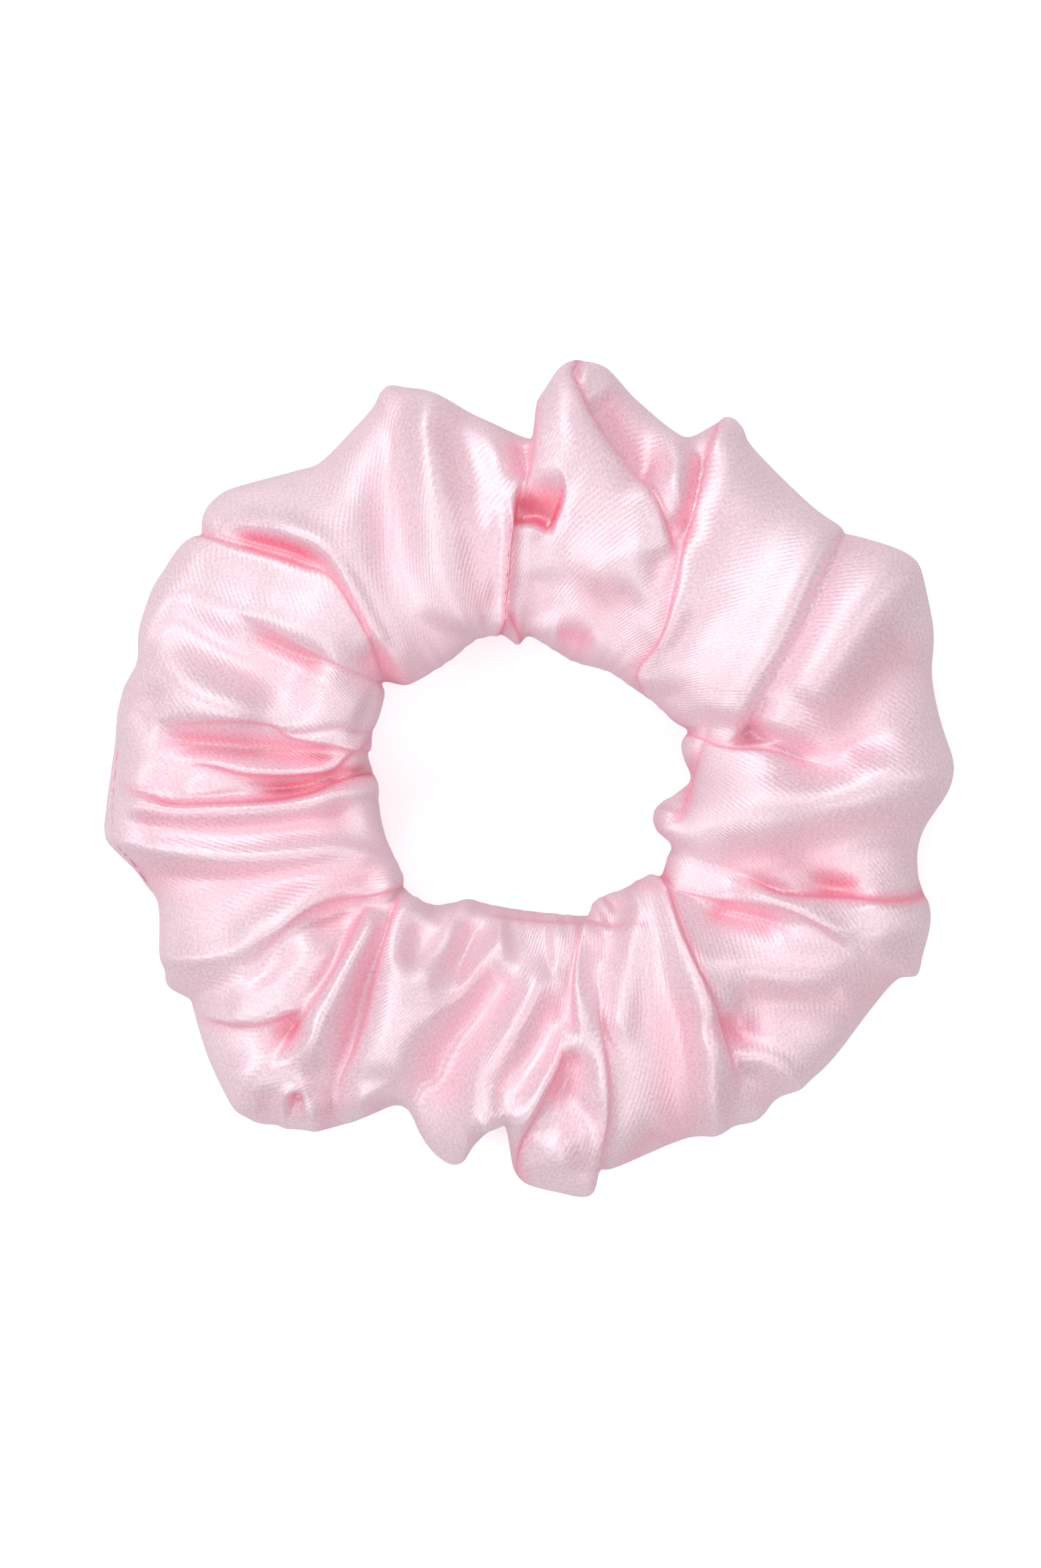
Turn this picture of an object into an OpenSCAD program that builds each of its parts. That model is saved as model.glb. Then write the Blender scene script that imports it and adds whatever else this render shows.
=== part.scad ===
// Hair scrunchie: a satin tube gathered on an elastic loop, lying flat.
// The origin is the centre of the opening on the plane that the ring rests on.
// +Z is up, and the seam that joins the tube's two ends is on the -X side.

/* [Ring] */
// Width of the ring over its outer folds
ring_d = 110; // [100:1:130]
// Opening that the hair goes through, relaxed
opening_d = 38.4; // [34:0.2:42]
// Height of the ring as it lies
ring_h = 26; // [23:1:28]
// Height of the narrow band of cover that grips the hair
grip_h = 9; // [6:0.5:11]

/* [Cover] */
// Thickness that a layer of gathered satin takes up
cloth_t = 0.8; // [0.6:0.1:1]
// How far a gather bulges past a straight-sided piece of ring
bulge = 1.6; // [1.4:0.1:2.4]
// Space between neighbouring gathers, measured at the opening
gather_gap = 0.3; // [0.2:0.05:0.5]

/* [Elastic] */
// Width of the woven elastic
elastic_w = 6; // [5:0.5:7]
// Thickness of the woven elastic
elastic_t = 1; // [0.8:0.1:1.1]
// Length of the sewn overlap of its two ends
elastic_lap = 14; // [10:1:18]

/* [Seams] */
// Width of the seam allowance inside the tube
allowance = 6; // [5:0.5:7]
// Thickness of one layer of seam allowance
layer_t = 0.4; // [0.3:0.05:0.5]
// Thickness of the sewing thread
thread_d = 0.4; // [0.3:0.05:0.5]
// Length of one stitch of the long seam
stitch_l = 2.6; // [2:0.1:3.5]
// Length of the turning gap that is sewn shut from outside
turning_gap_l = 20; // [14:1:22]

/* [Hidden] */
$fn = 72;

GATHERS = 12;
step_a = 360 / GATHERS;
// Reach of each gather from the centre, anticlockwise from the seam, as a share of the widest
reach_shares = [1, 0.985, 1, 0.985, 0.96, 1, 1, 1, 0.95, 0.985, 0.985, 0.985];

opening_r = opening_d / 2;
widest_r = ring_d / 2;
mid_z = ring_h / 2;
round_r = ring_h / 2;
grip_x = opening_r + sqrt(pow(round_r, 2) - pow(grip_h / 2, 2));

span_a = step_a - 2 * asin(gather_gap / 2 / opening_r);
end_wall_a = 1.6;

elastic_r = opening_r + cloth_t + 2.5;
lap_a = elastic_lap / elastic_r * 180 / PI;
lap_rise = elastic_t + 0.1;
rise_a = 40;
elastic_room = 0.6;
slot_w = elastic_t + lap_rise + 2 * elastic_room;
slot_h = elastic_w + 2 * elastic_room;

long_seam_r = widest_r - 5.5;
allowance_r = long_seam_r - allowance / 2;
layer_gap = thread_d + 0.2;
stitch_share = 0.8;
cut_margin = 1;

function gather_name(i) = str("cover_gather_", i < 10 ? "0" : "", i);
function gather_angle(i) = 180 + (i - 1) * step_a;
function gather_reach(i) = widest_r * reach_shares[i - 1];

function smooth(t) = let (c = max(0, min(1, t))) c * c * (3 - 2 * c);
// Radius of the elastic's centreline at an angle from its start, and a point on one of its faces
function elastic_path_r(a) =
    elastic_r + lap_rise * smooth((a - (360 - rise_a - lap_a / 2)) / rise_a);
function elastic_face(a, side) =
    let (r = elastic_path_r(a) + side * elastic_t / 2) [r * cos(a), r * sin(a)];

// Cross-section of the filled tube, drawn in from its outside by inset.
module tube_profile(reach, inset = 0) {
    r = round_r - inset;
    intersection() {
        translate([opening_r + inset, -cut_margin]) square([reach, ring_h + 2 * cut_margin]);
        union() {
            translate([grip_x, mid_z]) circle(r = r);
            translate([reach - round_r, mid_z]) circle(r = r);
            translate([grip_x, inset]) square([reach - round_r - grip_x, 2 * r]);
        }
    }
}

// A piece of ring of that many degrees, centred on +X, with a child as its cross-section.
module ring_piece(angle) {
    rotate([0, 0, -angle / 2]) rotate_extrude(angle = angle) children();
}

// A bulging piece of the filled tube, drawn in from its outside by inset.
module puff(reach, angle, inset) {
    middle = (reach + opening_r) / 2;
    intersection() {
        ring_piece(angle) tube_profile(reach, inset);
        translate([middle, 0, mid_z]) sphere(r = reach - middle + bulge - inset);
    }
}

// Both layers of the long seam's allowance, standing in from the outer edge.
module long_allowance(reach) {
    ring_piece(span_a)
        for (side = [0, 1])
            translate([allowance_r, mid_z + (side ? layer_gap / 2 : -layer_gap / 2 - layer_t)])
                square([reach - cloth_t / 2 - allowance_r, layer_t]);
}

// Both layers of the cross seam's allowance, standing in from the whole tube.
module cross_allowance(reach) {
    for (side = [0, 1])
        rotate([90, 0, 0])
            translate([0, 0, side ? layer_gap / 2 : -layer_gap / 2 - layer_t])
                linear_extrude(layer_t) difference() {
                    tube_profile(reach, cloth_t / 2);
                    tube_profile(reach, allowance);
                }
}

// The way through a gather that the elastic runs in.
module elastic_slot() {
    rotate_extrude()
        translate([elastic_r - elastic_t / 2 - elastic_room, mid_z - slot_h / 2])
            square([slot_w, slot_h]);
}

// One gather of the satin tube: a pouch of cloth, drawn in on the elastic at both ends.
module cover_gather(i) {
    reach = gather_reach(i);
    color("pink")
        rotate([0, 0, gather_angle(i)])
            difference() {
                puff(reach, span_a, 0);
                difference() {
                    puff(reach, span_a - 2 * end_wall_a, cloth_t);
                    long_allowance(reach);
                    if (i == 1) cross_allowance(reach);
                }
                elastic_slot();
            }
}

// One turn of elastic, whose last stretch rises to lie on its start.
module elastic_band() {
    strip_steps = 150;
    from = -lap_a / 2;
    turn = 360 + lap_a;
    angles = [for (k = [0:strip_steps]) from + turn * k / strip_steps];
    outer = [for (a = angles) elastic_face(a, 1)];
    inner = [for (k = [strip_steps:-1:0]) elastic_face(angles[k], -1)];
    color("white")
        rotate([0, 0, 180])
            translate([0, 0, mid_z - elastic_w / 2])
                linear_extrude(elastic_w) polygon(concat(outer, inner));
}

// One face of a zigzag bar tack, flat, with its corners at the edges of its height.
module zigzag(corners, length, height) {
    points = [for (k = [0:corners - 1])
        [(k / (corners - 1) - 0.5) * length, (k % 2 == 0 ? -0.5 : 0.5) * height]];
    for (k = [0:corners - 2])
        translate(points[k]) {
            along = points[k + 1] - points[k];
            rotate(atan2(along.y, along.x)) translate([0, -thread_d / 2]) square([norm(along), thread_d]);
        }
    for (point = points)
        translate(point) square(thread_d * 1.2, center = true);
}

// Zigzag bar tacks on both faces of the elastic's overlap, joined by thread through it.
module elastic_join_stitching() {
    corners = 7;
    tack_l = 3.6;
    tack_h = elastic_w - 2;
    back_r = elastic_r - elastic_t / 2 - thread_d;
    face_r = elastic_r + elastic_t / 2 + lap_rise;
    color("hotpink")
        for (side = [-1, 1])
            rotate([0, 0, 180 + side * lap_a / 4])
                translate([0, 0, mid_z])
                    rotate([90, 0, 90]) {
                        for (r = [back_r, face_r])
                            translate([0, 0, r]) linear_extrude(thread_d) zigzag(corners, tack_l, tack_h);
                        for (k = [0:corners - 1])
                            translate([
                                (k / (corners - 1) - 0.5) * tack_l,
                                (k % 2 == 0 ? -0.5 : 0.5) * tack_h,
                                (back_r + face_r + thread_d) / 2
                            ])
                                cube([thread_d, thread_d, face_r - back_r + thread_d / 2], center = true);
                    }
}

// A row of stitches along an arc about the origin, from an angle onwards, either way round.
module arc_stitches(count, from, way, r, z) {
    stitch_a = stitch_l / r * 180 / PI;
    for (k = [0:count - 1])
        rotate([0, 0, way * (from + (k + 0.5) * stitch_a)])
            ring_piece(stitch_a * stitch_share)
                translate([r, z]) circle(d = thread_d, $fn = 16);
}

// The long seam's stitches, between the two layers of its allowance in each gather. They
// stand off the middle, where the cross seam's allowance is in the first gather.
module long_seam_stitching() {
    off_middle = 0.9;
    from = off_middle / long_seam_r * 180 / PI;
    room_a = span_a / 2 - end_wall_a - from;
    count = floor(room_a / (stitch_l / long_seam_r * 180 / PI));
    color("hotpink")
        for (i = [1:GATHERS], way = [-1, 1])
            rotate([0, 0, gather_angle(i)])
                arc_stitches(count, from, way, long_seam_r, mid_z);
}

// The stitches that join the tube's two ends, round the tube inside its allowance.
module cross_seam_stitching() {
    reach = gather_reach(1);
    inset = allowance - 2;
    color("hotpink")
        difference() {
            rotate([90, 0, 180])
                translate([0, 0, -thread_d / 2])
                    linear_extrude(thread_d) difference() {
                        tube_profile(reach, inset);
                        tube_profile(reach, inset + thread_d);
                    }
            elastic_slot();
            rotate_extrude()
                translate([allowance_r - cut_margin, mid_z - layer_gap / 2 - layer_t - 0.1])
                    square([allowance + 2 * cut_margin, layer_gap + 2 * layer_t + 0.2]);
        }
}

// Edge stitches that close the turning gap, on the cover's outside near its outer edge.
module turning_gap_stitching() {
    lift_a = 36;
    off = round_r + thread_d / 2 + 0.05;
    count = floor(turning_gap_l / stitch_l / 2);
    color("hotpink")
        for (way = [-1, 1])
            rotate([0, 0, 180])
                arc_stitches(
                    count, 0, way, gather_reach(1) - round_r + off * cos(lift_a), mid_z + off * sin(lift_a)
                );
}

for (i = [1:GATHERS])
    cover_gather(i);
elastic_band();
elastic_join_stitching();
long_seam_stitching();
cross_seam_stitching();
turning_gap_stitching();
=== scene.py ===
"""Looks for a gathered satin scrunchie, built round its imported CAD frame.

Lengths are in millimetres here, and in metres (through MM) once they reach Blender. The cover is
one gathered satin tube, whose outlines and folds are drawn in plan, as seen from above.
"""

import math

import bpy
import numpy as np
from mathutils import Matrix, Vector
from mathutils.bvhtree import BVHTree


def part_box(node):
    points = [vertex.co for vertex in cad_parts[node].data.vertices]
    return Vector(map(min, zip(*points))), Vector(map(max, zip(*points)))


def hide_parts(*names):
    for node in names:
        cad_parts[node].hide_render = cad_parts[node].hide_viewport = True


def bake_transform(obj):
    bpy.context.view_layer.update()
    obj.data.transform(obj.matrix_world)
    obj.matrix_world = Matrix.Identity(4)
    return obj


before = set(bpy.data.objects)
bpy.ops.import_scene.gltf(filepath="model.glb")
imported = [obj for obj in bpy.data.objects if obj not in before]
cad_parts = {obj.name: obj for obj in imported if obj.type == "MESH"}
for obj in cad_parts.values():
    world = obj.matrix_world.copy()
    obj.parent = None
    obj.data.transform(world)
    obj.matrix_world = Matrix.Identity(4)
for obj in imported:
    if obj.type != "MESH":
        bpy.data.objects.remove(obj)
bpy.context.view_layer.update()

MM = 0.001
UP = np.array([0, 0, 1.0])
# The cross seam is on the -X side, so its two layers of allowance lie along this way
ACROSS_SEAM = np.array([0, 1.0, 0])

# ---------------------------------------------------------------------------------------------
# Places and sizes
# ---------------------------------------------------------------------------------------------

# Bodies that every piece stretches between, which the satin cover stands for
GATHER_NODES = sorted(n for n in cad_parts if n.startswith("cover_gather"))

elastic_low, elastic_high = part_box("elastic_band")
ELASTIC_Z = (elastic_low.z + elastic_high.z) / 2 / MM
ELASTIC_W = (elastic_high.z - elastic_low.z) / MM
ELASTIC_T = 1.0
# How far it runs from the opening's edge
ELASTIC_OFF = 2.0
# Length of the overlap of its ends, and how far the upper end stands out there
ELASTIC_LAP = 14
LAP_RISE = ELASTIC_T + 0.1
# Its woven ribs, and the spacing of the yarns that cross them
ELASTIC_RIBS = 6
PICK = 0.9

# Heights of the cover's top, of the middle of its inner side, and of its outer edge
TOP_Z = 24.6
GRIP_Z = 13.0
RIM_Z = 10.5
# Height that its lowest folds settle to, and how softly they do
REST_Z = 0.1
SETTLE = 0.5
CLOTH_T = 0.25
# Depth of the seam allowances inside, and how far each layer stands off the seam's middle
ALLOWANCE = 6.0
LAYER_GAP = 0.12
# The strip along the outer edge that is topstitched flat, and the angles it runs between
FLANGE_W = 1.3
FLANGE_FROM = math.radians(171)
FLANGE_TO = math.radians(198)
FLANGE_EASE = 0.09
# Two-ply thread, and the length in which its plies turn once
THREAD_D = 0.32
STITCH_L = 2.6
PLY_TURN = 0.9

# Columns and rows of the cover's face, every third of which its back has too
AROUND = 1200
TOP_ROWS = 180
UNDER_ROWS = 60
LINING_STEP = 3
# Size of the weave's map, round the ring and round the tube
WEAVE_AROUND = 450
WEAVE_OVER = 110

# ---------------------------------------------------------------------------------------------
# Outlines of the ring in plan, anticlockwise from +X
# ---------------------------------------------------------------------------------------------

OUTER = [
    (54.6, 0), (54.8, 3), (53.6, 9), (52.9, 14), (52.7, 20), (50.8, 26), (48.6, 28.5), (43, 31),
    (38, 33.2), (33.5, 38.2), (29, 43), (28.1, 45), (26.6, 46.5), (24.5, 45.9), (19.9, 44),
    (15, 48.7), (12, 51.7), (10, 53.2), (7.5, 54.1), (5.5, 53.6), (4, 52.2), (2.6, 49.7),
    (1.5, 48), (1.2, 46), (1, 44), (-4, 45.7), (-12, 49.4), (-15, 50.6), (-17.5, 51.1),
    (-18.8, 50.3), (-19.8, 48.3), (-22, 45.7), (-26.5, 41.2), (-30, 40), (-37.5, 38),
    (-40, 36.8), (-41.6, 34.8), (-42.2, 33), (-42.3, 31.6), (-44.5, 30.2), (-46.5, 27.5),
    (-48.3, 24.3), (-49.3, 20), (-49.9, 15.2), (-51.3, 13), (-52.4, 11), (-53.8, 4.5),
    (-54.9, -4), (-54.8, -7), (-54, -9), (-50, -13.9), (-48.4, -15.6), (-47.7, -18),
    (-47, -24.5), (-47.1, -26.5), (-46.3, -27.7), (-44, -28.9), (-43.4, -30), (-41.3, -36.2),
    (-39.3, -40.2), (-37.3, -43.2), (-35, -45), (-32, -45.5), (-25.5, -45.8), (-21, -44.3),
    (-16, -42.7), (-14.7, -43.3), (-13.7, -45.5), (-12.5, -47.5), (-11, -48.9), (-9.3, -49.3),
    (-7.7, -48.5), (-6.8, -46.9), (-5.2, -45.5), (-3, -44.5), (-2.4, -46), (-2, -48.5),
    (-1.7, -50.5), (-0.5, -52.1), (1.5, -53.2), (6.5, -54.1), (8.3, -53.7), (9.2, -52),
    (9.7, -50.8), (11, -51), (12.8, -50.6), (17, -48.9), (22, -46.5), (24.5, -46),
    (29.3, -45), (31, -43.7), (32.5, -41.8), (35.7, -40), (39.5, -37), (45.5, -30),
    (48.4, -26.6), (49.6, -26), (50.8, -26), (51.4, -25), (51.8, -20), (52, -16.5),
    (51.6, -14.5), (51.5, -10.5), (52.2, -7), (53.9, -2.5),
]

INNER = [
    (21.7, 0), (20.8, 4), (21.2, 6.2), (19.5, 7.3), (16.4, 10.2), (15, 10.7), (13.5, 11.8),
    (10.5, 13.8), (6, 15.1), (2, 17.6), (0.3, 18.3), (-1.2, 17.3), (-3.2, 18.9), (-6.5, 18.1),
    (-10, 15), (-14.8, 12.2), (-18.3, 12.2), (-18.2, 10.5), (-20, 6.2), (-20.4, 3.4),
    (-19.8, 1.5), (-19.6, -2), (-18.2, -8), (-16.6, -13), (-16.4, -14.4), (-14.8, -16.2),
    (-12.5, -16.8), (-7, -16.2), (0, -17.2), (7.8, -17.9), (9, -16.4), (10.5, -15.4),
    (15, -14.1), (17.2, -13.3), (18.5, -13.5), (19.3, -11), (19.9, -9.1), (18.3, -7.4),
    (17.4, -5.3), (18, -3.4), (20, -2.2),
]

TOPSTITCH_LINE = [(-53, 4), (-53.4, 0), (-53.5, -5), (-52.8, -8.5), (-51, -11), (-49, -14)]


def spline(points, closed=False, step=0.4):
    """Points close together along a Catmull-Rom curve through the given ones."""
    p = np.array(points, float)
    n = len(p)
    if closed:
        p = np.vstack([p[-1], p, p[0], p[1]])
        spans = n
    elif n == 2:
        count = max(2, int(np.linalg.norm(p[1] - p[0]) / step))
        return p[0] + (p[1] - p[0]) * np.linspace(0, 1, count)[:, None]
    else:
        p = np.vstack([2 * p[0] - p[1], p, 2 * p[-1] - p[-2]])
        spans = n - 1
    out = []
    for k in range(spans):
        a, b, c, d = p[k : k + 4]
        count = max(2, int(np.linalg.norm(c - b) / step))
        t = np.linspace(0, 1, count, endpoint=False)[:, None]
        out.append(
            0.5 * (2 * b + (c - a) * t + (2 * a - 5 * b + 4 * c - d) * t**2
                   + (3 * b - a - 3 * c + d) * t**3)
        )
    if not closed:
        out.append(p[-2:-1])
    return np.vstack(out)


def radius_by_angle(points, angles):
    """Radius of a closed outline at each angle."""
    curve = spline(points, closed=True)
    a = np.unwrap(np.arctan2(curve[:, 1], curve[:, 0]))
    a = np.maximum.accumulate(a)
    r = np.hypot(curve[:, 0], curve[:, 1])
    a = np.concatenate([a - 2 * math.pi, a, a + 2 * math.pi])
    return np.interp(angles, a, np.tile(r, 3))


# ---------------------------------------------------------------------------------------------
# Folds, drawn in plan: each is a line with a shape across it
# ---------------------------------------------------------------------------------------------


class Fold:
    """One line of the folding. Its left side is on the left hand going from its first point."""

    def __init__(self, kind, points, fade, **shape):
        self.kind = kind
        self.points = points
        self.fade = fade
        self.shape = shape


# The painted shade that each fold below is given deepens the cloth's colour along its creases,
# hollows and tucked edges, where shade falls
def ridge(height, width, *points, right=None, fade=(0.25, 0.25), pink=0.0):
    """A rounded ridge, or a valley where height is negative. right is the right side's width."""
    return Fold("ridge", points, fade, height=height, left=width, right=right or width, pink=pink)


def lap(step, over, *points, body=4.0, fade=(0.0, 0.0), pink=0.8, low=0.7, share=0.78):
    """Cloth on the line's left side laps over the cloth on its right, and stands step above it."""
    return Fold("lap", points, fade, step=step, over=over, body=body, pink=pink, low=low,
                share=share)


def crease(depth, left, *points, right=None, fade=(0.25, 0.25), pink=0.5):
    """A sharp valley, whose sides level off over left and right."""
    return Fold("crease", points, fade, depth=depth, left=left, right=right or left, pink=pink)


def pocket(depth, shallow, deep, *outline, pink=1.0):
    """A hollow with a sharp outline, whose floor slopes from the shallow point to the deep one."""
    return Fold("pocket", outline, (1, 1), depth=depth, shallow=shallow, deep=deep, pink=pink)


TOP_LEFT_PUFF = [
    # The left piece's straight edge, and the pocket between it and this piece's rolled edge
    lap(1.8, 0.5, (-17.6, 12.4), (-19.2, 16), (-21.4, 20.6), (-24.9, 25.9), (-28.5, 27.3),
        (-33.5, 28.9), (-38, 30.3), (-42.6, 31.7), body=5, low=0.5, share=0.4, pink=0.6),
    ridge(-1.0, 0.8, (-23.4, 24.4), (-26, 27.2), (-30, 29), (-34, 30.2), (-40.5, 31.6),
          fade=(0.45, 0.3), pink=1.9),
    ridge(1.2, 0.6, (-16.2, 12.2), (-18.5, 17), (-21.4, 22.6), (-23.6, 26.4), (-26, 29.4),
          (-31, 31.7), (-36, 32.8), (-41.6, 33.6), right=1.2, fade=(0, 0.2)),
    ridge(-0.5, 0.6, (-16, 15), (-19.4, 21), (-22.8, 27.4), (-26.5, 31.6), fade=(0.2, 0.3)),
    ridge(0.7, 2.2, (-19.6, 26), (-23, 31), (-28, 34.5), (-35, 35)),
    ridge(-0.9, 2.2, (-41.5, 36), (-35, 37), (-29, 39), (-24, 42), fade=(0.1, 0.4)),
    ridge(-1.5, 1.6, (-16.6, 51.2), (-17.8, 45), (-18.7, 38), (-18.3, 30), (-17, 24),
          (-14.8, 18), fade=(0, 0.4), pink=0.15),
    ridge(1.3, 1.9, (-15.2, 51), (-13.8, 42), (-12.4, 34), (-11.2, 27), (-8.8, 22),
          (-6.8, 18.2), fade=(0, 0.1)),
    ridge(-0.9, 2.0, (-11.6, 47.5), (-9.4, 42), (-7.6, 34), (-6.8, 27), (-5, 20),
          fade=(0.1, 0.1), pink=0.2),
    ridge(0.9, 1.3, (-11, 49.6), (-6.4, 45.4), (-3.8, 41.4), (-2.8, 36), fade=(0, 0.3)),
    ridge(-0.8, 2.4, (-12.4, 22), (-14.4, 15), fade=(0.4, 0), pink=0.1),
]

EAR = [
    lap(2.6, 0.6, (1.0, 48), (1.0, 44), (0.6, 40.5), (-0.2, 37.2), body=4, fade=(0, 0.3), pink=0.6),
    ridge(-1.2, 1.4, (-0.6, 43), (-0.8, 38), fade=(0.1, 0.3), pink=0.4),
    lap(2.6, 0.6, (-3.3, 18.6), (-2.6, 21), (-2.1, 25), (-1.7, 30), (-1.2, 34), (-0.7, 37.2),
        body=5, fade=(0, 0.2)),
    ridge(0.9, 0.5, (-1.9, 36), (-2.4, 30), (-2.8, 24), (-3.6, 18.8), fade=(0.2, 0)),
    ridge(-0.5, 0.5, (-3.3, 35), (-3.8, 28), (-4.4, 20.5), fade=(0.2, 0.2)),
    # The pocket beside the ear, and its lower lip
    pocket(3.8, (2.4, 41), (1.4, 33.6), (-1.6, 32.8), (0.8, 32.8), (3.1, 32.0), (4.2, 34.2),
           (4.9, 36.6), (4.5, 38.8), (3.2, 40.6), (1.6, 41.2), (0.0, 40), (-0.9, 37), (-1.6, 35),
           pink=1.6),
    ridge(0.5, 0.5, (-1.2, 32.1), (1, 32), (2.8, 31.2), fade=(0, 0.4)),
    crease(0.6, 0.7, (0, 30.5), (2.2, 30.8), (4, 32.2), (5.4, 34.6), pink=0.1),
    # The flap whose edge runs from the ear's tip down to the opening, and the inner face beside it
    lap(3.4, 0.7, (19.5, 27.6), (18.6, 31.4), (16.6, 36.2), (13.6, 40), (10.6, 43.9), (8, 48),
        (6.4, 51.8), (7.2, 54), body=4, fade=(0.1, 0), pink=0.7),
    ridge(-1.6, 1.9, (9.6, 50), (11.6, 46), (14.2, 41.4), (16.8, 37), fade=(0.1, 0.2), pink=0.6),
    ridge(1.4, 1.2, (18, 46.4), (18.2, 41), (18.6, 37), (19.2, 32), fade=(0, 0.2)),
    ridge(-1.1, 1.1, (23, 43), (21.8, 38), (20.6, 33), (19.8, 29.4), fade=(0.1, 0.2), pink=0.8),
    ridge(-0.5, 0.5, (20.3, 43.6), (22, 42.6), (23.6, 42.4), pink=0.3),
    ridge(0.9, 0.6, (6.6, 52.6), (9, 53), (12, 51.2), fade=(0.1, 0.4)),
    # Soft hollows towards the opening
    ridge(1.2, 2.0, (17, 29.5), (13, 28.6), (9, 28), (6, 26)),
    ridge(-0.8, 2.6, (12.6, 26), (10.4, 23.6), (7, 20.6), pink=0.3),
    ridge(0.5, 2.2, (4, 36), (8, 33), (9, 29)),
    ridge(0.6, 2.2, (17, 25), (15.6, 21.5), (13.4, 19)),
    ridge(-0.7, 1.3, (3.4, 18.2), (6, 17.9), (9.8, 16.6), fade=(0.2, 0.4), pink=0.8),
    ridge(-0.8, 1.9, (1.2, 27), (1.6, 22), (2.4, 19), pink=0.15),
    lap(1.6, 0.4, (-0.6, 18), (-1.2, 19.4), (-2.5, 21.8), body=2, fade=(0, 0.2), pink=0.8),
]

RIGHT_TOP_PUFF = [
    lap(2.8, 0.7, (24.9, 46.6), (23.7, 43), (22.5, 38), (21.2, 33), (20, 29), (19.2, 25),
        (18.2, 20.4), (16.9, 17.2), (15, 15.1), (14.2, 13.4), (14.6, 11.6), body=8, low=0.5,
        pink=0.6),
    ridge(0.5, 0.5, (21.2, 29), (20.2, 24.5), (19, 20), (17.3, 16.8), (15.4, 14.6),
          fade=(0.4, 0.2)),
    ridge(-0.3, 1.6, (25.4, 36), (23.8, 29), (22.8, 24), pink=0.1),
    ridge(-0.5, 1.5, (23.6, 23.4), (21, 20), (18.4, 15), fade=(0.3, 0.1), pink=0.1),
    ridge(-0.5, 0.6, (15.8, 11.2), (19, 10.9), (22.5, 10.4), fade=(0, 0.5)),
    # The broad shoulder, and the steep side that runs down from it
    ridge(2.4, 7.0, (38, 37), (34.8, 29.6), (31.2, 20.6), (27.6, 11.6), (25.4, 6), right=3.2,
          fade=(0, 0.1)),
    crease(4.0, 3.8, (42, 32.6), (39.8, 29), (37.4, 23.6), (35, 18), (32, 12.6), (29.4, 8.4),
           (26.8, 4.4), right=1.1, fade=(0, 0.08), pink=0.15),
    pocket(1.5, (34.4, 7), (28.2, 5.6), (26.7, 4.4), (28.4, 6.8), (30.4, 10), (32.6, 9.4),
           (34, 7), (33, 4.9), (30, 4.5), pink=0.5),
    ridge(1.2, 1.9, (47.5, 28.4), (43.2, 23.6), (39.8, 19), (36.6, 14.6), (33.4, 11.4),
          right=2.6, fade=(0, 0.1)),
    ridge(-1.3, 3.0, (51, 19), (46, 14), (41.5, 9), (37, 5), fade=(0.2, 0), pink=0.35),
]

RIGHT_PUFF = [
    lap(3.2, 0.7, (39, 1.5), (35.4, 2.2), (31.5, 3.6), (26.6, 4.0), (24, 4.7), (20.9, 6.3),
        body=4.5, fade=(0.4, 0), pink=0.5),
    ridge(-1.1, 2.0, (30, 5.2), (34, 4), (37.4, 3.2), (42, 4.6), (47, 7.5), fade=(0.35, 0.3),
          pink=0.5),
    ridge(2.0, 2.6, (55, 1.2), (47, 1), (40, 0.2), (33, -1.2), (27, -3), (21.8, -4.6),
          fade=(0, 0)),
    ridge(-1.4, 3.2, (53, -6.5), (45, -7.4), (37, -7.8), (30, -9), fade=(0, 0.3), pink=0.1),
    # The rolled curl that sticks into the opening
    lap(2.4, 0.5, (19.6, -6.4), (20.4, -5.2), (21.2, -3.6), (21.6, -1.4), body=2, fade=(0.3, 0),
        pink=0.5),
    ridge(1.0, 0.8, (18.1, -3.6), (18, -5.6), (19, -7.6), (21, -8.8), fade=(0.1, 0.4)),
    crease(0.9, 0.4, (21.7, -1.2), (21.1, -3.6), (20.2, -5.2), (19.2, -6.2), fade=(0, 0.3),
           pink=0.9),
    # The fold along its lower side: the piece below laps over it
    lap(3.4, 0.7, (52, -14.8), (50, -15.4), (47, -15.7), (42, -15.4), (37, -15.1), (33, -14.6),
        (29.8, -13.4), (27, -12), body=4.0, fade=(0, 0.2), pink=1.0, low=0.6),
    ridge(-1.8, 1.0, (36, -15.4), (40.4, -14.5), (44.8, -15.6), fade=(0.35, 0.35), pink=1.3),
    ridge(-0.8, 0.4, (26.4, -12.2), (29.4, -13.4), (33, -14.6), (37, -15.3), fade=(0.4, 0.3),
          pink=0.9),
    ridge(-0.9, 2.2, (22, -9.6), (28, -11), (36, -12), (44, -12.4), pink=0.45),
    ridge(0.5, 0.5, (25, -13.4), (30, -14.9), (34, -15.7), (42, -16.1), (50, -16.3),
          fade=(0.2, 0.1)),
    crease(0.5, 0.6, (22, -10.6), (25, -11.4), (28, -12.4), fade=(0.3, 0.1), pink=0.2),
]

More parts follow.
